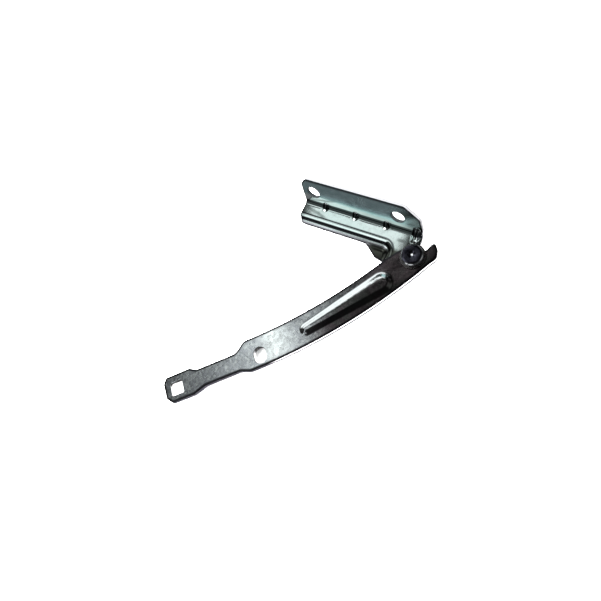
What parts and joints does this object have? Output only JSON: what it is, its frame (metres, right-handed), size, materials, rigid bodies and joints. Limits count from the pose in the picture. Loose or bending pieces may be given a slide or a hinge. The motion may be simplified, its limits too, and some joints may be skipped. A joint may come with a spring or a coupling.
{
  "type": "hood hinge",
  "caption": "Stamped steel hood hinge: a folded bracket with a bolting flange, and a long curved arm with a pressed bead that turns on one rivet.",
  "frame": {"origin": "centre of the flange's bolt hole nearest the pivot, on the flange's mounting face", "axes": "+Z along the pivot axis towards the rivet's head, +X along the bracket towards the pivot end, +Y from the pivot to the bolted flange"},
  "size_m": [0.135, 0.1695, 0.0275],
  "materials": {
    "plated_bracket": "bright zinc plate with a pale green cast",
    "plated_arm": "zinc plate, mottled grey, darker near the pivot",
    "rivet_steel": "dark bright plate",
    "washer_steel": "zinc plate",
    "bush_bronze": "plain bronze"
  },
  "bodies": {
    "bracket_side": {"bracket": "plated_bracket", "pivot_rivet": "rivet_steel", "head_washer": "washer_steel", "tail_washer": "washer_steel"},
    "arm_side": {"arm": "plated_arm", "arm_bush": "bush_bronze"}
  },
  "joints": [
    {"name": "arm_pivot", "type": "hinge", "parent": "bracket_side", "child": "arm_side", "pos_m": [0.0174, -0.02139, -0.01008], "axis": [0, 0, 1], "range_deg": [-45, 42]}
  ]
}
